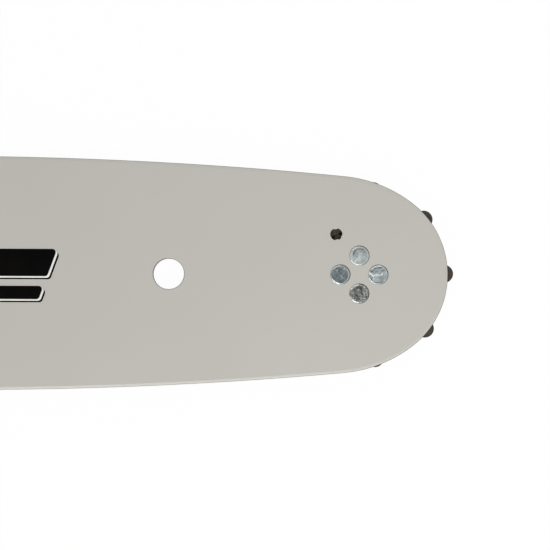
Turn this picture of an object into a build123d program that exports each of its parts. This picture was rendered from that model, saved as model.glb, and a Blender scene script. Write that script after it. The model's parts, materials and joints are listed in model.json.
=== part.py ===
from build123d import *
import os
from math import acos, atan2, cos, degrees, hypot, pi, radians, sin, sqrt, tan

# Sprocket-nose guide bar of a small chainsaw, in millimetres, lying flat.
# +X runs from the tail to the nose, +Z is the thickness, and the origin is the middle of
# the stud slot on the underside.

# Laminations: two side plates spot-welded to a core that sets the width of the chain groove
side_plate_thickness = 1.4
groove_width = 1.3
groove_depth = 6.6
rail_chamfer_width = 0.7
rail_chamfer_drop = 0.3

# Outline of the rails, from the nose back to the tail. The nose arc sits a little behind the
# sprocket's axis, so that the teeth lift the chain off the rail there.
nose_radius = 23.1
nose_setback = 0.45
shoulder_rise = 1.75
shoulder_radius = 33.8
rail_belly = 5.15
sprocket_to_widest = 105.7
widest_to_tail = 168.0
tail_taper = 6.5
tail_corner_radius = 14.0
tail_tongue_width = 14.0

# Mounting end: stud slot, chain tensioner holes and oil inlets
slot_end_wall = 13.0
slot_length = 58.0
slot_width = 8.2
tensioner_hole_diameter = 7.2
tensioner_hole_spread = 26.0
tensioner_hole_to_tail = 37.0
oil_hole_diameter = 3.0
oil_hole_inset = 4.4
oil_hole_to_tail = 22.0

# Hang hole with eased edges
hang_hole_diameter = 7.9
hang_hole_to_sprocket = 48.9
hang_hole_chamfer = 0.3

# Nose sprocket
tooth_count = 9
tooth_stand = 1.45
tooth_tip_round = 2.3
tooth_flank_angle = 14.0
tooth_turn = 0.85
root_radius = 16.8
root_fillet = 2.2
sprocket_side_play = 0.1
pocket_clearance = 1.0

# Nose bearing: a full ring of rollers between a riveted race and the sprocket's bore
roller_count = 20
roller_circle_radius = 10.25
roller_gap = 0.06
bearing_play = 0.04
grease_hole_diameter = 3.2
grease_hole_radius = 11.9
grease_hole_angle = 120.0

# Rivets through both side plates and the race
rivet_count = 4
rivet_circle_radius = 4.86
rivet_shank_diameter = 4.8
rivet_head_diameter = 5.4
rivet_head_depth = 0.25

# Levels through the thickness
front_level = side_plate_thickness + groove_width
bar_thickness = front_level + side_plate_thickness
middle_level = bar_thickness / 2

# Stations along the bar
tail_x = -(slot_end_wall + slot_length / 2)
widest_x = tail_x + widest_to_tail
nose_x = widest_x + sprocket_to_widest
nose_arc_x = nose_x - nose_setback
hang_hole_x = nose_x - hang_hole_to_sprocket
tensioner_hole_x = tail_x + tensioner_hole_to_tail
oil_hole_x = tail_x + oil_hole_to_tail

# Rails: one long arc ahead of the widest station and one behind it, level where they meet
widest_half = nose_radius + shoulder_rise + rail_belly
tail_half = widest_half - tail_taper
front_rail_radius = (sprocket_to_widest**2 + rail_belly**2) / (2 * rail_belly)
rear_rail_radius = (widest_to_tail**2 + tail_taper**2) / (2 * tail_taper)
rail_centre_y = widest_half - front_rail_radius

# Shoulder: the arc that lies inside the front rail's circle, round the nose circle, and
# touches both. Its centre closes a triangle with theirs, by the law of cosines.
rail_to_nose = hypot(nose_arc_x - widest_x, rail_centre_y)
rail_to_shoulder = front_rail_radius - shoulder_radius
nose_to_shoulder = shoulder_radius - nose_radius
cosine_at_rail = (rail_to_nose**2 + rail_to_shoulder**2 - nose_to_shoulder**2) / (
    2 * rail_to_nose * rail_to_shoulder
)
rail_end_angle = atan2(-rail_centre_y, nose_arc_x - widest_x) + acos(cosine_at_rail)
rail_end = (
    widest_x + front_rail_radius * cos(rail_end_angle),
    rail_centre_y + front_rail_radius * sin(rail_end_angle),
)
shoulder_x = widest_x + rail_to_shoulder * cos(rail_end_angle)
shoulder_y = rail_centre_y + rail_to_shoulder * sin(rail_end_angle)
nose_end_angle = atan2(-shoulder_y, nose_arc_x - shoulder_x)
nose_end = (
    nose_arc_x + nose_radius * cos(nose_end_angle),
    nose_radius * sin(nose_end_angle),
)

# Nose bearing and sprocket, sized outwards from the ring of rollers
sprocket_thickness = groove_width - 2 * sprocket_side_play
sprocket_level = middle_level - sprocket_thickness / 2
roller_radius = roller_circle_radius * sin(pi / roller_count) - roller_gap / 2
race_radius = roller_circle_radius - roller_radius - bearing_play
sprocket_bore_radius = roller_circle_radius + roller_radius + bearing_play
sprocket_tip_radius = nose_radius - nose_setback + tooth_stand
tip_centre = sprocket_tip_radius - tooth_tip_round
flank_top_x = tip_centre + tooth_tip_round * sin(radians(tooth_flank_angle))
flank_top_y = tooth_tip_round * cos(radians(tooth_flank_angle))
flank_foot_y = flank_top_y + (flank_top_x - sprocket_bore_radius) * tan(radians(tooth_flank_angle))
sprocket_plane = Plane(
    origin=(nose_x, 0, sprocket_level),
    x_dir=(cos(radians(tooth_turn)), sin(radians(tooth_turn)), 0),
    z_dir=(0, 0, 1),
)

# Rivet section
rivet_shank_radius = rivet_shank_diameter / 2
rivet_head_radius = rivet_head_diameter / 2
head_slope = (rivet_head_radius - rivet_shank_radius) / rivet_head_depth

# Hole centres
rear_rail_at_oil = widest_half - rear_rail_radius + sqrt(rear_rail_radius**2 - (widest_x - oil_hole_x) ** 2)
oil_hole_y = rear_rail_at_oil - oil_hole_inset
oil_hole_spots = [(oil_hole_x, oil_hole_y), (oil_hole_x, -oil_hole_y)]
tensioner_hole_spots = [
    (tensioner_hole_x, tensioner_hole_spread / 2),
    (tensioner_hole_x, -tensioner_hole_spread / 2),
]
grease_hole_spot = (
    nose_x + grease_hole_radius * cos(radians(grease_hole_angle)),
    grease_hole_radius * sin(radians(grease_hole_angle)),
)

os.makedirs("parts", exist_ok=True)

# Rail outline shared by the laminations, drawn as its upper half and mirrored
with BuildSketch() as bar_outline:
    with BuildLine():
        RadiusArc((nose_arc_x + nose_radius, 0), nose_end, -nose_radius)
        RadiusArc(nose_end, rail_end, -shoulder_radius)
        RadiusArc(rail_end, (widest_x, widest_half), -front_rail_radius)
        RadiusArc((widest_x, widest_half), (tail_x, tail_half), -rear_rail_radius)
        Line((tail_x, tail_half), (tail_x, 0))
        mirror(about=Plane.XZ)
    make_face()
    tail_corners = bar_outline.vertices().group_by(Axis.X)[0]
    fillet([tail_corners.sort_by(Axis.Y)[0], tail_corners.sort_by(Axis.Y)[-1]], radius=tail_corner_radius)

# Holes that pass through all three laminations: stud slot, tensioner holes and hang hole
with BuildSketch() as through_holes:
    SlotOverall(slot_length, slot_width)
    with Locations(*tensioner_hole_spots):
        Circle(tensioner_hole_diameter / 2)
    with Locations((hang_hole_x, 0)):
        Circle(hang_hole_diameter / 2)

# Front side plate: bevelled along the rails, eased at the hang hole, countersunk for the
# rivets, and drilled over the groove for oil and over the bearing for grease
with BuildPart() as front_side_plate:
    with BuildSketch(Plane.XY.offset(front_level)):
        add(bar_outline.sketch)
    extrude(amount=side_plate_thickness)
    face = front_side_plate.faces().sort_by(Axis.Z)[-1]
    chamfer(face.outer_wire().edges(), length=rail_chamfer_width, length2=rail_chamfer_drop, reference=face)
    with BuildSketch(Plane.XY.offset(front_level)):
        add(through_holes.sketch)
    extrude(amount=side_plate_thickness, mode=Mode.SUBTRACT)
    circles = front_side_plate.edges().filter_by(GeomType.CIRCLE)
    chamfer(circles.sort_by_distance((hang_hole_x, 0, bar_thickness))[0], length=hang_hole_chamfer)
    with BuildSketch(Plane.XY.offset(front_level)):
        with Locations(*oil_hole_spots):
            Circle(oil_hole_diameter / 2)
        with Locations(grease_hole_spot):
            Circle(grease_hole_diameter / 2)
    extrude(amount=side_plate_thickness, mode=Mode.SUBTRACT)
    with Locations((nose_x, 0, bar_thickness)):
        with PolarLocations(rivet_circle_radius, rivet_count):
            CounterSinkHole(
                radius=rivet_shank_radius,
                counter_sink_radius=rivet_head_radius,
                counter_sink_angle=2 * degrees(atan2(head_slope, 1)),
            )
front_side_plate.part.label = "front_side_plate"
export_step(front_side_plate.part, "parts/front_side_plate.step")

# Back side plate: the same stamping, turned over
with BuildPart() as back_side_plate:
    mirror(front_side_plate.part, about=Plane.XY.offset(middle_level))
back_side_plate.part.label = "back_side_plate"
export_step(back_side_plate.part, "parts/back_side_plate.step")

# Core plate: set in from the rails by the depth of the chain groove, hollowed for the
# sprocket, and with a tongue that closes the groove at the middle of the tail
with BuildPart() as core_plate:
    with BuildSketch(Plane.XY.offset(side_plate_thickness)):
        add(bar_outline.sketch)
        offset(amount=-groove_depth)
        with Locations((tail_x + groove_depth, 0)):
            Rectangle(2 * groove_depth, tail_tongue_width)
        add(bar_outline.sketch, mode=Mode.INTERSECT)
        with Locations((nose_x, 0)):
            Circle(sprocket_tip_radius + pocket_clearance, mode=Mode.SUBTRACT)
        add(through_holes.sketch, mode=Mode.SUBTRACT)
    extrude(amount=groove_width)
core_plate.part.label = "core_plate"
export_step(core_plate.part, "parts/core_plate.step")

# Nose sprocket: round-tipped teeth on a ring, with filleted roots for the drive links
with BuildPart() as nose_sprocket:
    with BuildSketch(sprocket_plane) as sprocket_outline:
        Circle(root_radius)
        with BuildSketch(mode=Mode.PRIVATE) as tooth:
            with BuildLine():
                Line((sprocket_bore_radius, -flank_foot_y), (flank_top_x, -flank_top_y))
                ThreePointArc(
                    (flank_top_x, -flank_top_y), (sprocket_tip_radius, 0), (flank_top_x, flank_top_y)
                )
                Line((flank_top_x, flank_top_y), (sprocket_bore_radius, flank_foot_y))
                Line((sprocket_bore_radius, flank_foot_y), (sprocket_bore_radius, -flank_foot_y))
            make_face()
        with PolarLocations(0, tooth_count):
            add(tooth.sketch)
        fillet(sprocket_outline.vertices().group_by(SortBy.DISTANCE)[0], radius=root_fillet)
        Circle(sprocket_bore_radius, mode=Mode.SUBTRACT)
    extrude(amount=sprocket_thickness)
nose_sprocket.part.label = "nose_sprocket"
export_step(nose_sprocket.part, "parts/nose_sprocket.step")

# Bearing race: the disc that the rivets clamp between the side plates
with BuildPart() as bearing_race:
    with BuildSketch(Plane.XY.offset(side_plate_thickness)):
        with Locations((nose_x, 0)):
            Circle(race_radius)
            with PolarLocations(rivet_circle_radius, rivet_count):
                Circle(rivet_shank_radius, mode=Mode.SUBTRACT)
    extrude(amount=groove_width)
bearing_race.part.label = "bearing_race"
export_step(bearing_race.part, "parts/bearing_race.step")

# Rollers: loose cylinders, as long as the sprocket is thick
for index in range(roller_count):
    roller_angle = radians(grease_hole_angle) + 2 * pi * index / roller_count
    roller_plane = Plane(
        origin=(
            nose_x + roller_circle_radius * cos(roller_angle),
            roller_circle_radius * sin(roller_angle),
            sprocket_level,
        )
    )
    roller_name = f"roller_{index + 1:02d}"
    with BuildPart() as roller:
        with BuildSketch(roller_plane):
            Circle(roller_radius)
        extrude(amount=sprocket_thickness)
    roller.part.label = roller_name
    export_step(roller.part, f"parts/{roller_name}.step")

# Rivets: upset flush at both ends into the countersinks
with BuildPart() as rivet:
    with BuildSketch(Plane.XZ):
        with BuildLine():
            Polyline(
                (0, 0),
                (rivet_head_radius, 0),
                (rivet_shank_radius, rivet_head_depth),
                (rivet_shank_radius, bar_thickness - rivet_head_depth),
                (rivet_head_radius, bar_thickness),
                (0, bar_thickness),
                close=True,
            )
        make_face()
    revolve(axis=Axis.Z)
with BuildPart() as nose_rivets:
    with Locations((nose_x, 0)):
        with PolarLocations(rivet_circle_radius, rivet_count):
            add(rivet.part)
nose_rivets.part.label = "nose_rivets"
export_step(nose_rivets.part, "parts/nose_rivets.step")
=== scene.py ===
import json
from math import acos, atan2, cos, degrees, pi, radians, sin, sqrt, tan

import bmesh
import bpy
from mathutils import Matrix, Vector, noise
from mathutils.geometry import delaunay_2d_cdt


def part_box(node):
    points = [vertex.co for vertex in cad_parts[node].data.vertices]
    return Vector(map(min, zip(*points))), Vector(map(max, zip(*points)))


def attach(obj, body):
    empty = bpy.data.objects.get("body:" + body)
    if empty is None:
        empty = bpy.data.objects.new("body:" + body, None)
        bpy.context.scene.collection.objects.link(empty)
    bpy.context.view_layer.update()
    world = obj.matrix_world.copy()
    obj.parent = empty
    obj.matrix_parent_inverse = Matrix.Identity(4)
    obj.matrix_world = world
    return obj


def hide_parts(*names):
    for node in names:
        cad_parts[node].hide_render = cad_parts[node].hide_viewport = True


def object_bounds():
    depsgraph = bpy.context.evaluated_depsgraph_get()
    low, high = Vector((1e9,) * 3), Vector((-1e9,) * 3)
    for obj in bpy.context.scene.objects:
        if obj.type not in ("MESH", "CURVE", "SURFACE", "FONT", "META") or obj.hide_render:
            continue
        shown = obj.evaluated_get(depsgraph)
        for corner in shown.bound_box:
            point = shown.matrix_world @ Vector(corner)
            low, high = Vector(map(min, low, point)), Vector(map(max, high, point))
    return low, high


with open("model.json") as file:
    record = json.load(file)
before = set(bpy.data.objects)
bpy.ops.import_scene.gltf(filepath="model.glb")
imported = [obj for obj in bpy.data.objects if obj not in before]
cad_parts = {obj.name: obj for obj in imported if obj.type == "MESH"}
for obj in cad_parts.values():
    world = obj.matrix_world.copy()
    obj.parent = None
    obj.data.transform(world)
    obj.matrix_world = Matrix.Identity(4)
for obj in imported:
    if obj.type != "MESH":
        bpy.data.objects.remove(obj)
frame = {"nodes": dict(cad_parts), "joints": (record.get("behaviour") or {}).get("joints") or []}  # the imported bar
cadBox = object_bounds()
mm = 0.001  # shapes below are in millimetres, and become metres where vertices are made
close = 0.001  # millimetres that count as nothing
outOfRound = 0.01  # millimetres by which a faceted circle's width and height may differ
bumpStrength = 0.6
noise.seed_set(5)  # the same marks every time
nodes = frame["nodes"]
noseAxis = Vector(next(j["pos_m"] for j in frame["joints"] if j["name"] == "sprocket_spin")) / mm
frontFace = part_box("front_side_plate")[1].z / mm
print("frame:", len(nodes), "nodes, bar", round(frontFace, 2), "mm thick")


# sRGB hex value as linear colour
def hexToLinear(code):
    channels = [int(code[i : i + 2], 16) / 255 for i in (1, 3, 5)]
    return [c / 12.92 if c <= 0.04045 else ((c + 0.055) / 1.055) ** 2.4 for c in channels] + [1]


# texture scale that gives features of this size in millimetres
def scaleFor(size):
    return 1 / (size * mm)


# adds a node; keys are names of properties or inputs, or numbers of inputs
def addNode(tree, kind, settings={}, links={}):
    node = tree.nodes.new(kind)
    for key, value in settings.items():
        if isinstance(key, str) and hasattr(node, key):
            setattr(node, key, value)
        else:
            node.inputs[key].default_value = value
    for key, source in links.items():
        tree.links.new(source, node.inputs[key])
    return node


def newMaterial(name):
    material = bpy.data.materials.new(name)
    material.use_nodes = True
    tree = material.node_tree
    tree.nodes.clear()
    shader = addNode(tree, "ShaderNodeBsdfPrincipled")
    addNode(tree, "ShaderNodeOutputMaterial", {}, {"Surface": shader.outputs["BSDF"]})
    return material, tree, shader


# Satin enamel, sprayed on sheet steel and baked: an even warm grey that drifts slightly in
# tone, with a fine orange peel. Edges ground or punched after painting are bare steel.
barEnamel = {
    "tone": "#BDBBB5",
    "drift": "#B8B5AD",  # warmer patches
    "driftSize": 45,
    "peelSize": 0.9,
    "peelHeight": 0.003,
    "roughness": (0.42, 0.54),
    "bareSteel": "#7D7A74",
    "bareGrain": "#4B4844",  # lines of the grinding wheel and the punch
    "grainSize": 0.14,  # coarser than real, so that it shows
    "grainStretch": (0.03, 0.03, 1),
    "bareSlope": (0.88, 0.75),  # upward share of the normal where paint ends, and where steel is bare
}


# bare steel, finely lined along its edges
def addBareSteel(tree, place):
    drawn = addNode(tree, "ShaderNodeMapping", {"Scale": barEnamel["grainStretch"]}, {"Vector": place})
    grain = addNode(
        tree,
        "ShaderNodeTexNoise",
        {"Scale": scaleFor(barEnamel["grainSize"]), "Detail": 3},
        {"Vector": drawn.outputs[0]},
    )
    bright, dark = hexToLinear(barEnamel["bareSteel"]), hexToLinear(barEnamel["bareGrain"])
    return addNode(
        tree,
        "ShaderNodeMix",
        {"data_type": "RGBA", 6: bright, 7: dark},
        {0: grain.outputs["Fac"]},
    )


def makeBarEnamel():
    material, tree, shader = newMaterial("satinEnamelSprayed")
    place = addNode(tree, "ShaderNodeTexCoord").outputs["Object"]
    drift = addNode(
        tree,
        "ShaderNodeTexNoise",
        {"Scale": scaleFor(barEnamel["driftSize"]), "Detail": 4},
        {"Vector": place},
    )
    paint = addNode(
        tree,
        "ShaderNodeMix",
        {"data_type": "RGBA", 6: hexToLinear(barEnamel["tone"]), 7: hexToLinear(barEnamel["drift"])},
        {0: drift.outputs["Fac"]},
    )
    normal = addNode(tree, "ShaderNodeNewGeometry").outputs["True Normal"]
    height = addNode(tree, "ShaderNodeSeparateXYZ", {}, {0: normal}).outputs["Z"]
    facing = addNode(tree, "ShaderNodeMath", {"operation": "ABSOLUTE"}, {0: height})
    start, end = barEnamel["bareSlope"]
    bare = addNode(tree, "ShaderNodeMapRange", {1: start, 2: end, 3: 0, 4: 1}, {0: facing.outputs[0]})
    steel = addBareSteel(tree, place)
    colour = addNode(
        tree,
        "ShaderNodeMix",
        {"data_type": "RGBA"},
        {0: bare.outputs[0], 6: paint.outputs[2], 7: steel.outputs[2]},
    )
    peel = addNode(
        tree,
        "ShaderNodeTexNoise",
        {"Scale": scaleFor(barEnamel["peelSize"]), "Detail": 2},
        {"Vector": place},
    )
    least, most = barEnamel["roughness"]
    gloss = addNode(tree, "ShaderNodeMapRange", {3: least, 4: most}, {0: drift.outputs["Fac"]})
    bump = addNode(
        tree,
        "ShaderNodeBump",
        {"Strength": bumpStrength, "Distance": barEnamel["peelHeight"] * mm},
        {"Height": peel.outputs["Fac"]},
    )
    tree.links.new(colour.outputs[2], shader.inputs["Base Color"])
    tree.links.new(gloss.outputs[0], shader.inputs["Roughness"])
    tree.links.new(bump.outputs[0], shader.inputs["Normal"])
    return material


# a surface that drifts between two tones: size of its patches, where one tone gives way to the
# other, roughness, metal and relief, and the tones that its mesh's marks, painted shade and
# painted highlights turn to at each limit; its grit is drawn coarser than real, so that it shows
def mottled(name, look):
    material, tree, shader = newMaterial(name)
    place = addNode(tree, "ShaderNodeTexCoord").outputs["Object"]
    stretch = look.get("stretch", (1, 1, 1))
    stretched = addNode(tree, "ShaderNodeMapping", {"Scale": stretch}, {"Vector": place})
    patches = addNode(
        tree,
        "ShaderNodeTexNoise",
        {"Scale": scaleFor(look["patch"]), "Detail": 5, "Roughness": 0.6},
        {"Vector": stretched.outputs[0]},
    )
    start, end = look["turn"]
    share = addNode(tree, "ShaderNodeMapRange", {1: start, 2: end}, {0: patches.outputs[0]})
    colour = addNode(
        tree,
        "ShaderNodeMix",
        {"data_type": "RGBA", 6: hexToLinear(look["tone"]), 7: hexToLinear(look["other"])},
        {0: share.outputs[0]},
    )
    if "marksAndPaintedLight" in look:
        marksAndPaintedLight = addNode(tree, "ShaderNodeAttribute", {"attribute_name": "marksAndPaintedLight"}).outputs["Fac"]
        for limit, tone in look["marksAndPaintedLight"].items():
            reach = addNode(tree, "ShaderNodeMapRange", {1: 0, 2: limit}, {0: marksAndPaintedLight})
            colour = addNode(
                tree,
                "ShaderNodeMix",
                {"data_type": "RGBA", 7: hexToLinear(tone)},
                {0: reach.outputs[0], 6: colour.outputs[2]},
            )
    least, most = look["rough"]
    gloss = addNode(tree, "ShaderNodeMapRange", {3: least, 4: most}, {0: share.outputs[0]})
    grit = addNode(
        tree,
        "ShaderNodeTexNoise",
        {"Scale": scaleFor(look["grit"]), "Detail": 3},
        {"Vector": stretched.outputs[0]},
    )
    relief = addNode(
        tree,
        "ShaderNodeBump",
        {"Strength": bumpStrength, "Distance": look["relief"] * mm},
        {"Height": grit.outputs[0]},
    )
    tree.links.new(colour.outputs[2], shader.inputs["Base Color"])
    tree.links.new(gloss.outputs[0], shader.inputs["Roughness"])
    tree.links.new(relief.outputs[0], shader.inputs["Normal"])
    shader.inputs["Metallic"].default_value = look["metal"]
    shader.inputs["Specular IOR Level"].default_value = look.get("shine", 0.5)
    return material


# Hardened steel blackened in oil: near black, brown where light catches it, a dull sheen
blackSteel = {
    "tone": "#312A27",
    "other": "#463D37",
    "patch": 1.6,
    "turn": (0.35, 0.7),
    "rough": (0.38, 0.52),
    "metal": 0,
    "shine": 0.3,
    "grit": 0.4,
    "relief": 0.004,
}
# Ground bearing steel under a film of old grease: dark brown-grey with a wet shine
greasySteel = {
    "tone": "#5C564E",
    "other": "#3B362F",
    "patch": 0.45,
    "turn": (0.38, 0.62),
    "rough": (0.4, 0.3),
    "metal": 0,
    "shine": 0.1,
    "grit": 0.5,
    "relief": 0.01,
    "marksAndPaintedLight": {-1: "#080706"},  # painted shade: black on the rollers' sides and eased edges, in the gaps between them
}
# Cold-rolled sheet, thinly oiled: mid grey, with the faint lengthwise grain of the mill
rolledSteel = {
    "tone": "#8C8A86",
    "other": "#77746F",
    "patch": 1.5,
    "stretch": (0.05, 1, 1),
    "turn": (0.3, 0.7),
    "rough": (0.36, 0.48),
    "metal": 1,
    "grit": 0.4,
    "relief": 0.002,
}

enamel = makeBarEnamel()
blackened = mottled("steelOilBlackened", blackSteel)
greasy = mottled("bearingSteelGreased", greasySteel)
rolled = mottled("steelColdRolled", rolledSteel)
for name, node in nodes.items():
    node.data.materials.clear()
    node.data.materials.append(rolled if name == "core_plate" else greasy)
print("materials: enamel, blackened, greased and rolled steel")


# closed outlines of a node's flat face at this height, the widest first
def faceLoops(nodeName, height):
    solid = bmesh.new()
    solid.from_mesh(nodes[nodeName].data)
    bmesh.ops.remove_doubles(solid, verts=solid.verts, dist=close * mm)
    flat = {f for f in solid.faces if all(abs(v.co.z / mm - height) < close for v in f.verts)}
    rim = [e for e in solid.edges if len(flat.intersection(e.link_faces)) == 1]
    loops = []
    while rim:
        loop = list(rim.pop().verts)
        while loop[-1] is not loop[0]:
            step = next(e for e in rim if loop[-1] in e.verts)
            rim.remove(step)
            loop.append(step.other_vert(loop[-1]))
        loops.append([Vector((v.co.x, v.co.y)) / mm for v in loop[:-1]])
    solid.free()
    return sorted(loops, key=lambda loop: -loopSize(loop)[1].x)


def loopSize(loop):
    low = Vector((min(p.x for p in loop), min(p.y for p in loop)))
    high = Vector((max(p.x for p in loop), max(p.y for p in loop)))
    return (low + high) / 2, high - low


# points of an arc, each with the direction away from its centre
def arc(centre, radius, start, end, count):
    angles = [start + (end - start) * i / count for i in range(count + 1)]
    return [(centre + radius * Vector((cos(a), sin(a))), Vector((cos(a), sin(a)))) for a in angles]


# a slot, or a circle where it is as wide as it is long
def slotOutline(centre, size, count):
    reach = Vector(((size.x - size.y) / 2, 0))
    right = arc(centre + reach, size.y / 2, -pi / 2, pi / 2, count)
    left = arc(centre - reach, size.y / 2, pi / 2, 3 * pi / 2, count)
    return right + left if reach.x > outOfRound else right[:-1] + left[:-1]


# The bar's outline: nose, shoulder, front rail, rear rail and tail corner as arcs, read from
# the face's own points, and mirrored
barShape = {
    "noseSetback": 0.45,  # of the nose arc behind the sprocket's axis
    "shoulderRadius": 33.8,
    "tailCornerRadius": 14.0,
    "noseSteps": 60,
    "railSteps": 60,
    "cornerSteps": 15,
}


def barOutline(loop):
    widest = max(loop, key=lambda p: p.y)
    centre, size = loopSize(loop)
    tailX = centre.x - size.x / 2
    nose = Vector((noseAxis.x - barShape["noseSetback"], 0))
    noseRadius = centre.x + size.x / 2 - nose.x
    upper = [p for p in loop if p.y > 0]
    ahead = min((p for p in upper if p.x > widest.x + close), key=lambda p: p.x)
    behind = max((p for p in upper if p.x < widest.x - close), key=lambda p: p.x)
    frontRadius, rearRadius = [
        (p - widest).length_squared / (2 * (widest.y - p.y)) for p in (ahead, behind)
    ]
    frontCentre = widest - Vector((0, frontRadius))
    rearCentre = widest - Vector((0, rearRadius))
    # the shoulder touches the front rail's circle and the nose circle from inside
    shoulder = barShape["shoulderRadius"]
    span, toRail, toNose = (nose - frontCentre).length, frontRadius - shoulder, shoulder - noseRadius
    atRail = acos((span**2 + toRail**2 - toNose**2) / (2 * span * toRail))
    railEnd = atan2(-frontCentre.y, nose.x - widest.x) + atRail
    shoulderCentre = frontCentre + toRail * Vector((cos(railEnd), sin(railEnd)))
    noseEnd = atan2(-shoulderCentre.y, nose.x - shoulderCentre.x)
    corner = barShape["tailCornerRadius"]
    cornerX = tailX + corner
    cornerY = rearCentre.y + sqrt((rearRadius - corner) ** 2 - (widest.x - cornerX) ** 2)
    cornerCentre = Vector((cornerX, cornerY))
    tailStart = atan2(cornerY - rearCentre.y, cornerX - widest.x)
    steps, cornerSteps = barShape["railSteps"], barShape["cornerSteps"]
    half = arc(nose, noseRadius, 0, noseEnd, barShape["noseSteps"])
    half += arc(shoulderCentre, shoulder, noseEnd, railEnd, cornerSteps)[1:]
    half += arc(frontCentre, frontRadius, railEnd, pi / 2, steps)[1:]
    half += arc(rearCentre, rearRadius, pi / 2, tailStart, steps)[1:]
    half += arc(cornerCentre, corner, tailStart, pi, cornerSteps)[1:]
    mirrored = [(Vector((p.x, -p.y)), Vector((d.x, -d.y))) for p, d in half[:0:-1]]
    return [(p, -d) for p, d in half + mirrored]


# rounded edge as steps of (inset, depth)
def roundEdge(radius, count=5):
    turns = [pi / 2 * i / count for i in range(count + 1)]
    return [(radius * (1 - sin(t)), radius * (1 - cos(t))) for t in turns]


def addPiece(name, mesh, material, body):
    piece = bpy.data.objects.new(name, mesh)
    bpy.context.scene.collection.objects.link(piece)
    mesh.materials.append(material)
    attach(piece, body)
    return piece


# triangles between anticlockwise rings of vertices, where a ring within another is a hole
def fillBetween(sheet, rings):
    corners, loops = [], []
    for ring in rings:
        loops.append(range(len(corners), len(corners) + len(ring)))
        corners += ring
    inside = 1  # only what the rings enclose
    apart = close / 1000  # points nearer than this would be joined
    filled = delaunay_2d_cdt([v.co.xy / mm for v in corners], [], loops, inside, apart)
    triangles, sources, within = filled[2], filled[3], filled[5]
    for triangle, around in zip(triangles, within):
        if len(around) == 1:
            sheet.faces.new([corners[sources[i][0]] for i in triangle])


# bands of faces from each ring of vertices to the next
def bridge(shape, rings):
    for upper, lower in zip(rings, rings[1:]):
        for i in range(len(upper)):
            j = (i + 1) % len(upper)
            shape.faces.new((upper[i], upper[j], lower[j], lower[i]))


# a finished shape as a mesh, smooth except at edges over this many degrees
def toMesh(shape, name, sharp=180):
    bmesh.ops.recalc_face_normals(shape, faces=shape.faces)
    mesh = bpy.data.meshes.new(name)
    shape.to_mesh(mesh)
    shape.free()
    mesh.shade_smooth()
    mesh.set_sharp_from_angle(angle=radians(sharp))
    return mesh


# a sheet with profiled edges: each outline has its own steps of (inset, depth) from the face
# at this height, and sign says which way the depth goes
def sheetMesh(name, outlines, height, sign):
    sheet = bmesh.new()
    lids = [[], []]
    for points, profile in outlines:
        rings = []
        for inset, depth in profile:
            level = height + sign * depth
            spots = [p + inset * into for p, into in points]
            rings.append([sheet.verts.new((p.x * mm, p.y * mm, level * mm)) for p in spots])
        bridge(sheet, rings)
        lids[0].append(rings[0])
        lids[1].append(rings[-1])
    for lid in lids:
        fillBetween(sheet, lid)
    return toMesh(sheet, name, sharp=35)


# Side plates: punched sheet with bevelled, eased rails and eased holes
plateEdges = {
    "railBevel": 0.7,
    "railDrop": 0.3,
    "railEase": 0.12,
    "holeEase": 0.12,
    "holeSteps": 48,
    "greaseBead": 0.07,  # paint that narrows the grease hole, with lumps of (angle, reach, spread)
    "greaseLumps": [(97, 0.25, 26), (278, 0.24, 20), (337, 0.17, 16), (45, 0.05, 30)],
    "greaseRagged": 0.05,
    "raggedTurns": 3.5,
    "raggedPlace": 0.5,  # picks one run of the noise
    "rivetBead": 0.12,  # paint that narrows the rivets' countersinks
}


# how far paint reaches into the grease hole on this side
def paintBead(way):
    spot = Vector((way.x, way.y, plateEdges["raggedPlace"]))
    ragged = noise.noise(spot * plateEdges["raggedTurns"])
    bead = plateEdges["greaseBead"] + plateEdges["greaseRagged"] * ragged
    for angle, reach, spread in plateEdges["greaseLumps"]:
        off = way.angle(Vector((cos(radians(angle)), sin(radians(angle)))))
        bead += reach * max(0, 1 - (degrees(off) / spread) ** 2)
    return bead


# whether a spot lies over a node's box
def isOver(spot, nodeName):
    low, high = [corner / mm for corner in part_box(nodeName)]
    return low.x < spot.x < high.x and low.y < spot.y < high.y


def makePlate(nodeName, pieceName):
    low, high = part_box(nodeName)
    isFront = high.z / mm > frontFace - close
    outer, inner = (high.z / mm, low.z / mm) if isFront else (low.z / mm, high.z / mm)
    thickness = abs(outer - inner)
    innerLoops, outerLoops = faceLoops(nodeName, inner), faceLoops(nodeName, outer)
    ease, bevel, drop = plateEdges["railEase"], plateEdges["railBevel"], plateEdges["railDrop"]
    slope = drop / bevel
    rail = [
        (bevel + ease, 0),
        (bevel, slope * ease / 3),
        (bevel - ease, slope * ease),
        (ease, drop - slope * ease),
        (ease / 3, drop + ease / 3),
        (0, drop + ease),
        (0, thickness),
    ]
    outlines = [(barOutline(innerLoops[0]), rail)]
    for loop in innerLoops[1:]:
        centre, size = loopSize(loop)
        mouth = min(outerLoops, key=lambda other: (loopSize(other)[0] - centre).length)
        flare = (loopSize(mouth)[1].y - size.y) / 2
        points = slotOutline(centre, size, plateEdges["holeSteps"])
        steps = roundEdge(max(flare, plateEdges["holeEase"]))
        if isOver(centre, "nose_rivets"):
            bead = plateEdges["rivetBead"]
            steps = [(flare - bead, 0), (flare - bead, bead), (0, flare)]
        elif isOver(centre, "nose_sprocket"):  # the grease hole
            points = [(p - d * paintBead(d), d) for p, d in points]
        outlines.append((points, steps + [(0, thickness)]))
    mesh = sheetMesh(pieceName, outlines, outer, -1 if isFront else 1)
    piece = addPiece(pieceName, mesh, enamel, "bar")
    piece.modifiers.new("flatFaces", "WEIGHTED_NORMAL").keep_sharp = True
    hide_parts(nodeName)


makePlate("front_side_plate", "frontPlate")
makePlate("back_side_plate", "backPlate")
print("plates: two, with bevelled rails")

# Nose sprocket: stamped, with eased edges
sprocketShape = {"ease": 0.1, "easeSteps": 3, "boreSegments": 120}


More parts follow.
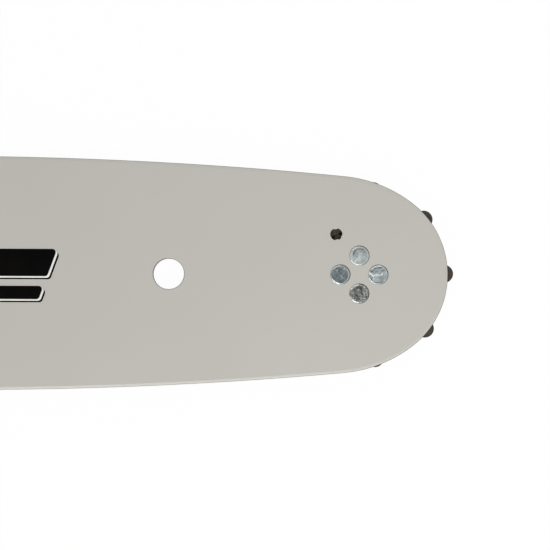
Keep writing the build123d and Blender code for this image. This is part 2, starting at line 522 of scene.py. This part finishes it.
def makeSprocket():
    low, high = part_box("nose_sprocket")
    top, thickness = high.z / mm, (high.z - low.z) / mm
    edge = roundEdge(sprocketShape["ease"], sprocketShape["easeSteps"])
    profile = edge + [(inset, thickness - depth) for inset, depth in edge[::-1]]
    rim, bore = faceLoops("nose_sprocket", top)
    if sum(a.cross(b) for a, b in zip(rim, rim[1:] + rim[:1])) < 0:  # clockwise
        rim.reverse()
    points = []
    for before, here, after in zip(rim[-1:] + rim[:-1], rim, rim[1:] + rim[:1]):
        along = (here - before).normalized() + (after - here).normalized()
        points.append((here, Vector((-along.y, along.x)).normalized()))
    outlines = [(points, profile)]
    around = slotOutline(noseAxis.xy, loopSize(bore)[1], sprocketShape["boreSegments"] // 2)
    outlines.append((around, [(0, 0), (0, thickness)]))
    mesh = sheetMesh("noseSprocket", outlines, top, -1)
    piece = addPiece("noseSprocket", mesh, blackened, "sprocket")
    piece.modifiers.new("flatFaces", "WEIGHTED_NORMAL").keep_sharp = True
    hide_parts("nose_sprocket")


makeSprocket()
print("sprocket: eased teeth")

# Bare rivet steel, upset in a press: blue-grey heads, each marked in its own way, with a rim
# that rolls down into the countersink and catches the light
rivetSteel = {
    "rough": (0.24, 0.4),
    "metal": 1,
    "grit": 0.35,
    "relief": 0.01,
    "marksAndPaintedLight": {-1: "#40474A", 1: "#F2F4F2"},  # dark for dirt in grooves and painted shade on the rims, bright for rubbed ridges and painted highlights on the rims
}
# punch is the round mark of the press, as (x, y, radius) from the hole's middle, ring is the wear
# round it, speckle is wear that flickers all over, and a stroke is (line, width, strength): a ridge
# if that is above 0, a groove if below; some strokes on the rims are painted highlights and
# painted shade rather than wear
rivetHeads = {
    "Top": {
        "angle": 90,
        "tone": "#ABB3B1",
        "other": "#8A9394",
        "patch": 1.6,
        "turn": (0.4, 0.66),
        "punch": (0.15, 0, 1.85),
        "ring": 0.16,
        "speckle": 0.2,
        "strokes": [
            ([(-1.6, 0.15), (-1.35, 1.0), (-0.7, 1.6), (0.1, 1.78), (0.9, 1.6)], 0.3, -0.6),
            ([(0.2, 1.2), (0.9, 0.9)], 0.5, -0.25),
            ([(0.2, 0.45), (-0.1, -0.95)], 0.6, 0.32),
            ([(-1.15, -1.55), (-0.6, -0.9)], 0.16, 0.6),
            ([(-1.75, 1.5), (-1.0, 2.1)], 0.25, 0.4),
        ],
    },
    "Left": {
        "angle": 180,
        "tone": "#757F82",
        "other": "#545D60",
        "patch": 0.7,
        "turn": (0.4, 0.62),
        "punch": (-0.25, -0.2, 2.1),
        "ring": 0.24,
        "speckle": 0.2,
        "strokes": [
            ([(-2.15, 1.25), (-1.45, 1.95), (-0.3, 2.35)], 0.3, 0.3),
            ([(0.75, 1.3), (0.95, 1.4)], 0.25, 0.4),
            ([(-0.95, 1.0), (-0.8, 1.15)], 0.25, 0.35),
            ([(0.3, -0.3), (0.6, -1.0)], 0.25, 0.2),
            # painted highlight: brightens the glint along the lower-left rim
            ([(-2.2, -1.15), (-1.5, -1.95), (-0.6, -2.4)], 0.3, 0.35),
        ],
    },
    "Right": {
        "angle": 0,
        "tone": "#A9B1B2",
        "other": "#878F92",
        "patch": 1.2,
        "turn": (0.42, 0.64),
        "punch": (0.03, -0.05, 2.15),
        "ring": 0.16,
        "speckle": 0.25,
        "strokes": [
            ([(-2.45, 0.45), (-1.9, 0.13), (-1.3, -0.36)], 0.15, 1.25),
            ([(-1.1, -0.3), (-0.76, -0.14), (0.74, -0.12), (1.1, 0.4)], 0.15, 0.8),
            ([(-1.3, -0.4), (-1.22, -1.2)], 0.14, 0.4),
            ([(-1.7, 0.8), (-1.0, 1.4), (-0.1, 1.7), (0.8, 1.75)], 0.32, -0.65),
            ([(-1.1, 0.5), (-0.2, 0.8)], 0.35, -0.45),
            ([(0.9, 1.0), (1.5, 1.15)], 0.3, -0.6),
            ([(-1.6, 1.5), (-1.0, 1.95), (-0.1, 2.2), (0.7, 2.15)], 0.17, 0.5),
            ([(-2.3, -0.5), (-1.8, -1.35), (-1.0, -1.95), (-0.1, -2.15), (0.9, -2.0)], 0.2, -0.6),
            ([(-2.2, -0.3), (-1.9, -1.0)], 0.4, -0.25),
            # painted shade: dims the glint along the lower-left rim
            ([(-1.9, -1.7), (-1.0, -2.35), (0.0, -2.5)], 0.25, -0.4),
        ],
    },
    "Bottom": {
        "angle": 270,
        "tone": "#82847D",
        "other": "#4C4E4A",
        "patch": 0.4,
        "turn": (0.42, 0.58),
        "punch": (-0.35, -0.05, 1.95),
        "ring": 0.14,
        "speckle": 0.5,
        "strokes": [
            ([(-1.3, 0.9), (-0.7, 1.45), (0.1, 1.6), (0.7, 1.4)], 0.38, -0.5),
            ([(0.35, 1.4), (0.55, 0.7)], 0.45, -0.35),
            ([(-0.8, -0.2), (-0.45, -1.3)], 0.36, -0.5),
            ([(0.6, 0.3), (0.8, -0.4)], 0.3, -0.35),
            ([(1.7, -0.7), (1.75, -0.9)], 0.28, -0.8),
            ([(-2.2, 1.1), (-1.4, 2.0), (-0.2, 2.45)], 0.32, 0.5),
            # painted highlight: fills in the glint along the lower-left rim
            ([(-2.0, -1.4), (-1.2, -2.1), (-0.2, -2.4)], 0.3, 0.2),
            ([(0.4, -1.3), (1.2, -1.4)], 0.35, 0.15),
            ([(1.15, 0.3), (1.25, -0.4)], 0.35, 0.15),
        ],
    },
}
rivetShape = {
    "radius": 2.55,
    "rim": 0.38,
    "rimRings": 10,
    "rimCurve": 1.5,
    "fall": 0.19,
    "proud": 0.06,
    "pressed": 0.02,  # depth of the punch mark, and how soft its edge is
    "softness": 0.2,
    "lift": 0.04,  # height of a ridge
    "dents": 0.03,
    "dentSize": 1.1,
    "backMarks": 20,  # sets the back's dents apart from the front's
    "uneven": 0.02,  # of the rim's edge
    "shank": 2.39,
    "shankDepth": 0.35,
    "shift": (-0.08, -0.07),  # of the heads in their countersinks
    "ragged": 0.1,  # how far strokes stray, and over what size
    "raggedSize": 0.45,
    "speckleSize": 0.28,
    "rings": 24,
    "segments": 120,
}


def distanceTo(line, spot):
    distances = []
    for a, b in zip(line, line[1:]):
        start, along = Vector(a), Vector(b) - Vector(a)
        share = max(0, min(1, (spot - start).dot(along) / along.length_squared))
        distances.append((spot - start - share * along).length)
    return min(distances)


# depth of a head's surface below the plate's face, and its marks and painted light from -1, dark, to 1, bright
def headSurface(look, strokes, spot, seed):
    x, y, punch = look["punch"]
    mark = spot + Vector(rivetShape["shift"])
    grain = noise.noise_vector(Vector((mark.x, mark.y, seed)) / rivetShape["raggedSize"])
    strayed = mark + rivetShape["ragged"] * grain.xy
    outside = max(0, min(1, ((strayed - Vector((x, y))).length - punch) / rivetShape["softness"] + 0.5))
    rim = max(0, 1 + (spot.length - rivetShape["radius"]) / rivetShape["rim"])
    markAndLight = look["ring"] * outside
    for line, width, strength in strokes:
        markAndLight += strength * max(0, 1 - (distanceTo(line, strayed) / width) ** 2) * (1 + grain.z)
    flicker = noise.noise(Vector((mark.x, mark.y, seed)) / rivetShape["speckleSize"])
    markAndLight += look["speckle"] * flicker
    markAndLight = max(-1, min(1, markAndLight))
    depth = rivetShape["fall"] * rim ** rivetShape["rimCurve"] - rivetShape["proud"]
    depth += rivetShape["pressed"] * (1 - outside)
    if rim == 0:
        dent = abs(noise.noise(Vector((spot.x, spot.y, seed)) / rivetShape["dentSize"]))
        depth += rivetShape["dents"] * dent - rivetShape["lift"] * markAndLight
    return depth, markAndLight


def makeRivet(label, look):
    angle = radians(look["angle"])
    head = min(faceLoops("nose_rivets", frontFace), key=lambda loop: loopSize(loop)[0].x)
    circle = noseAxis.x - loopSize(head)[0].x
    centre = noseAxis.xy + circle * Vector((cos(angle), sin(angle))) + Vector(rivetShape["shift"])
    count, rim = rivetShape["segments"], rivetShape["rim"]
    flat = rivetShape["radius"] - rim
    radii = [flat * (i + 1) / rivetShape["rings"] for i in range(rivetShape["rings"])]
    radii += [flat + rim * (i + 1) / rivetShape["rimRings"] for i in range(rivetShape["rimRings"])]
    rivet = bmesh.new()
    marksAndPaintedLight = rivet.verts.layers.float.new("marksAndPaintedLight")
    rings = []
    front = (angle, frontFace, -1, look["strokes"])
    back = (angle + rivetShape["backMarks"], 0, 1, [])
    for seed, face, sign, strokes in (front, back):
        stack = []
        for radius in [0] + radii + [rivetShape["shank"]]:
            ring = []
            for i in range(count if radius else 1):
                way = Vector((cos(2 * pi * i / count), sin(2 * pi * i / count)))
                depth, markAndLight = headSurface(look, strokes, radius * way, seed)
                if stack and radius == rivetShape["shank"]:
                    depth = rivetShape["shankDepth"]
                spread = 1 + rivetShape["uneven"] * noise.noise(Vector((way.x, way.y, seed)))
                place = centre + radius * spread * way
                ring.append(rivet.verts.new((place.x * mm, place.y * mm, (face + sign * depth) * mm)))
                ring[-1][marksAndPaintedLight] = markAndLight
            stack.append(ring)
        middle, first = stack[0][0], stack[1]
        for i in range(count):
            rivet.faces.new((middle, first[i], first[(i + 1) % count]))
        rings += stack[1:] if sign < 0 else stack[:0:-1]
    bridge(rivet, rings)
    mesh = toMesh(rivet, "rivet" + label)
    steel = mottled("rivetSteelPressed" + label, rivetSteel | look)
    piece = addPiece("rivet" + label, mesh, steel, "bar")
    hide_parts("nose_rivets")


for label, look in rivetHeads.items():
    makeRivet(label, look)
print("rivets:", len(rivetHeads))

# Rollers: ground cylinders with eased ends
rollerShape = {"ease": 0.16, "easeSteps": 3, "segments": 64}


def makeRoller(nodeName, pieceName):
    low, high = [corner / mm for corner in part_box(nodeName)]
    size = high - low
    edge = roundEdge(rollerShape["ease"], rollerShape["easeSteps"])
    profile = edge + [(inset, size.z - depth) for inset, depth in edge[::-1]]
    around = slotOutline((low + high).xy / 2, size.xx, rollerShape["segments"] // 2)
    mesh = sheetMesh(pieceName, [([(p, -d) for p, d in around], profile)], high.z, -1)
    marksAndPaintedLight = mesh.attributes.new("marksAndPaintedLight", "FLOAT", "POINT")
    for vertex, markAndLight in zip(mesh.vertices, marksAndPaintedLight.data):
        # painted shade: the sides and eased edges are black, so the gaps between the rollers read as deep shadow;
        # the ends keep their tone
        flat = abs(vertex.co.z / mm - (low.z + high.z) / 2) > size.z / 2 - close
        markAndLight.value = 0 if flat else -1
    piece = addPiece(pieceName, mesh, greasy, "rollers")
    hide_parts(nodeName)


rollers = [name for name in nodes if name.startswith("roller_")]
for name in rollers:
    makeRoller(name, name.replace("_", "Eased"))
print("rollers:", len(rollers))

# Grease: old, brown-black and lumpy, packed between the race, the rollers and the sprocket
grease = {
    "tone": "#645E53",
    "other": "#38332B",
    "patch": 0.4,
    "turn": (0.38, 0.64),
    "rough": (0.3, 0.45),
    "metal": 0,
    "shine": 0.08,
    "marksAndPaintedLight": {-1: "#060504"},  # painted shade: black in the groove by the bore, a dark gap
    "grit": 0.5,
    "relief": 0.04,
}
greaseFill = {
    "sink": 0.03,  # below the rollers' ends
    "lump": 0.25,
    "lumpSize": 0.8,
    "groove": 0.9,  # that the sprocket's bore wipes clear
    "grooveDepth": 0.5,
    "grooveLean": 0.05,
    "sharp": 50,  # edges over this many degrees show
    "play": 0.006,
    "rings": 12,
    "segments": 240,
    "smear": 2.2,  # how far it has crept over the sprocket's faces, and how thick
    "film": 0.03,
    "smearSegments": 120,
}


# radius of the round outline at this place in a node's top face, the widest first
def topRadius(nodeName, place):
    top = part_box(nodeName)[1].z / mm
    return loopSize(faceLoops(nodeName, top)[place])[1].x / 2


def makeGrease(material):
    low, high = [corner.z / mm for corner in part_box("roller_01")]
    inner = topRadius("bearing_race", 0) + greaseFill["play"]
    outer = topRadius("nose_sprocket", 1) - greaseFill["play"]
    count, steps = greaseFill["segments"], greaseFill["rings"]
    crown = outer - greaseFill["groove"]
    radii = [inner + (crown - inner) * k / steps for k in range(steps + 1)]
    fill = bmesh.new()
    marksAndPaintedLight = fill.verts.layers.float.new("marksAndPaintedLight")
    rows = []
    for level, sign in ((high, -1), (low, 1)):
        side = []
        for radius in radii + [crown + greaseFill["grooveLean"], outer]:
            row = []
            for i in range(count):
                spot = noseAxis.xy + radius * Vector((cos(2 * pi * i / count), sin(2 * pi * i / count)))
                lump = abs(noise.noise(Vector((spot.x, spot.y, level)) / greaseFill["lumpSize"]))
                depth = greaseFill["sink"] + greaseFill["lump"] * lump
                if radius > crown:
                    depth = greaseFill["grooveDepth"]
                row.append(fill.verts.new((spot.x * mm, spot.y * mm, (level + sign * depth) * mm)))
                # painted shade: the groove by the bore is black
                row[-1][marksAndPaintedLight] = -1 if radius > crown else 0
            side.append(row)
        rows += side if sign < 0 else side[::-1]
    bridge(fill, rows + rows[:1])
    mesh = toMesh(fill, "noseGrease", greaseFill["sharp"])
    addPiece("noseGrease", mesh, material, "rollers")


# grease that has crept from the bore over the sprocket's faces
def makeSmears(material):
    low, high = [corner.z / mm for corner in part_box("nose_sprocket")]
    bore, count = topRadius("nose_sprocket", 1), greaseFill["smearSegments"] // 2
    mouth = slotOutline(noseAxis.xy, 2 * Vector((bore, bore)), count)
    reach = [(p + d * greaseFill["smear"], -d) for p, d in mouth]
    film = greaseFill["film"]
    edge = [(film, 0), (film / 3, film / 3), (0, film)]
    for name, face, sign in (("smearFront", high, 1), ("smearBack", low, -1)):
        mesh = sheetMesh(name, [(reach, edge), (mouth, edge)], face + sign * film, -sign)
        addPiece(name, mesh, material, "sprocket")


packed = mottled("greaseOldPacked", grease)
makeGrease(packed)
makeSmears(packed)
print("grease: a packed ring and two smears")

# Screen ink, printed and dried: flat and nearly without gloss. Two slanted black stripes lie over
# their own white edge and black outline.
blackInk = {
    "tone": "#020202",
    "other": "#070605",
    "patch": 6,
    "turn": (0.35, 0.65),
    "rough": (0.5, 0.6),
    "metal": 0,
    "shine": 0.03,
    "grit": 0.6,
    "relief": 0.002,
}
whiteInk = blackInk | {"tone": "#EDEDE8", "other": "#E2E1DC"}
stripes = {
    "rows": [(2.7, 7.0), (-5.0, 3.4)],  # middle and height
    "start": 40,
    "end": 152.0,
    "slant": 20,
    "corner": 0.9,
    "cornerSteps": 8,
    "film": 0.012,
    "filmEdge": 0.02,
    "edgeDrop": 0.42,
    "outlineDrop": 0.8,
}


# an outline through corners in anticlockwise order, each rounded to this radius
def roundedOutline(corners, radius, count):
    outline = []
    for before, here, after in zip(corners[-1:] + corners[:-1], corners, corners[1:] + corners[:1]):
        arrive, leave = (here - before).normalized(), (after - here).normalized()
        facing, onward = Vector((arrive.y, -arrive.x)), Vector((leave.y, -leave.x))
        centre = here - radius * (facing + onward) / (1 + facing.dot(onward))
        start = atan2(facing.y, facing.x)
        turn = atan2(facing.x * onward.y - facing.y * onward.x, facing.dot(onward))
        outline += arc(centre, radius, start, start + turn, count)
    return outline


# both stripes in one ink, dropped to the right and down; layers of film count up from the plate
def makeStripes(name, ink, drop, layer):
    film = stripes["film"]
    outlines = []
    for middle, height in stripes["rows"]:
        corners = []
        for x, y in (
            (stripes["start"], middle - height / 2),
            (stripes["end"], middle - height / 2),
            (stripes["end"], middle + height / 2),
            (stripes["start"], middle + height / 2),
        ):
            corners.append(Vector((x + drop + y * tan(radians(stripes["slant"])), y - drop)))
        points = [(p, -d) for p, d in roundedOutline(corners, stripes["corner"], stripes["cornerSteps"])]
        outlines.append((points, [(stripes["filmEdge"], 0), (0, film / 3), (0, film)]))
    mesh = sheetMesh(name, outlines, frontFace + layer * film, -1)
    addPiece(name, mesh, ink, "bar")


inkBlack = mottled("inkBlackScreened", blackInk)
inkWhite = mottled("inkWhiteScreened", whiteInk)
makeStripes("stripesOutline", inkBlack, stripes["outlineDrop"], 1)
makeStripes("stripesEdge", inkWhite, stripes["edgeDrop"], 2)
makeStripes("stripes", inkBlack, 0, 3)
print("print: stripes")

# Floor: white, with the bar's own soft shadow
floorSet = {
    "side": 6.0,  # metres
    "under": 0.1,  # millimetres below the bar, clear of the rivets' heads
    "tone": "#FAFAFA",
    "glow": 0.97,
}


# 1 for rays that show a surface to the camera, 0 for those that only carry its light
def lightSeen(tree):
    path = addNode(tree, "ShaderNodeLightPath").outputs
    seen = path["Is Camera Ray"]
    for ray in ("Is Glossy Ray", "Is Transmission Ray"):
        either = addNode(tree, "ShaderNodeMath", {"operation": "MAXIMUM"}, {0: seen, 1: path[ray]})
        seen = either.outputs[0]
    return seen


def makeFloor():
    mesh = bpy.data.meshes.new("floor")
    half = floorSet["side"] / 2
    corners = [(-half, -half, 0), (half, -half, 0), (half, half, 0), (-half, half, 0)]
    mesh.from_pydata(corners, [], [(0, 1, 2, 3)])
    floor = bpy.data.objects.new("floor", mesh)
    bpy.context.scene.collection.objects.link(floor)
    floor.location.z = cadBox[0].z - floorSet["under"] * mm
    material = bpy.data.materials.new("paperSweepMatt")
    material.use_nodes = True
    tree = material.node_tree
    tree.nodes.clear()
    matt = addNode(tree, "ShaderNodeBsdfDiffuse", {"Color": hexToLinear(floorSet["tone"])})
    white = addNode(tree, "ShaderNodeEmission", {"Color": (1, 1, 1, 1), "Strength": 1})
    glow = {"operation": "MULTIPLY", 1: floorSet["glow"]}
    share = addNode(tree, "ShaderNodeMath", glow, {0: lightSeen(tree)}).outputs[0]
    mix = addNode(tree, "ShaderNodeMixShader", {}, {0: share, 1: matt.outputs[0], 2: white.outputs[0]})
    addNode(tree, "ShaderNodeOutputMaterial", {}, {"Surface": mix.outputs[0]})
    mesh.materials.append(material)


makeFloor()

# Studio light: a white room, a soft box over the near right, two low strips that model the
# bevels, and a card at the near left that shows only as a glint in the rivets' rims. Their places
# and sizes are in metres, and their power in watts.
studio = {"aim": 20, "ambient": 0.58}  # aim is millimetres behind the sprocket's axis
lamps = {
    "box": {"at": (0.36, -0.22, 0.3), "size": (0.2, 0.2), "power": 0.59, "visible_glossy": False},
    "key": {"at": (0.06, -0.41, 0.125), "size": (0.5, 0.16), "power": 0.71},
    "fill": {"at": (0.3, 0.42, 0.125), "size": (0.5, 0.16), "power": 0.69, "visible_glossy": False},
    "glint": {"at": (0.07, -0.3, 0.22), "size": (0.48, 0.2), "power": 1.0, "visible_diffuse": False},
}


def makeLights():
    target = Vector((noseAxis.x - studio["aim"], 0, 0)) * mm
    for name, plan in lamps.items():
        lamp = bpy.data.lights.new(name, "AREA")
        lamp.shape = "RECTANGLE"
        lamp.size, lamp.size_y = plan["size"]
        lamp.energy = plan["power"]
        holder = bpy.data.objects.new(name, lamp)
        bpy.context.scene.collection.objects.link(holder)
        holder.location = plan["at"]
        holder.rotation_euler = (target - holder.location).to_track_quat("-Z", "Y").to_euler()
        holder.visible_glossy = plan.get("visible_glossy", True)
        holder.visible_diffuse = plan.get("visible_diffuse", True)


def makeWorld():
    world = bpy.data.worlds.new("studio")
    bpy.context.scene.world = world
    world.use_nodes = True
    tree = world.node_tree
    tree.nodes.clear()
    soft = addNode(tree, "ShaderNodeBackground", {"Color": (1, 1, 1, 1), "Strength": studio["ambient"]})
    white = addNode(tree, "ShaderNodeBackground", {"Color": (1, 1, 1, 1), "Strength": 1})
    share = lightSeen(tree)
    mix = addNode(tree, "ShaderNodeMixShader", {}, {0: share, 1: soft.outputs[0], 2: white.outputs[0]})
    addNode(tree, "ShaderNodeOutputWorld", {}, {"Surface": mix.outputs[0]})


makeLights()
makeWorld()

# Camera: over the nose, leaning a little from the near side, in millimetres and degrees
shot = {"centre": (210.07, -0.225), "width": 140.88, "distance": 700, "lean": 1.8, "roll": 0.265}


def makeCamera():
    camera = bpy.data.cameras.new("camera")
    camera.lens = camera.sensor_width * shot["distance"] / shot["width"]
    holder = bpy.data.objects.new("camera", camera)
    bpy.context.scene.collection.objects.link(holder)
    turn = Matrix.Rotation(radians(shot["roll"]), 3, "Z") @ Matrix.Rotation(radians(shot["lean"]), 3, "X")
    aim = Vector((*shot["centre"], frontFace))
    spot = (aim + turn @ Vector((0, 0, shot["distance"]))) * mm
    holder.matrix_world = Matrix.Translation(spot) @ turn.to_4x4()
    bpy.context.scene.camera = holder


makeCamera()
bpy.context.scene.view_settings.view_transform = "Standard"
print("stage: floor, lights and camera")
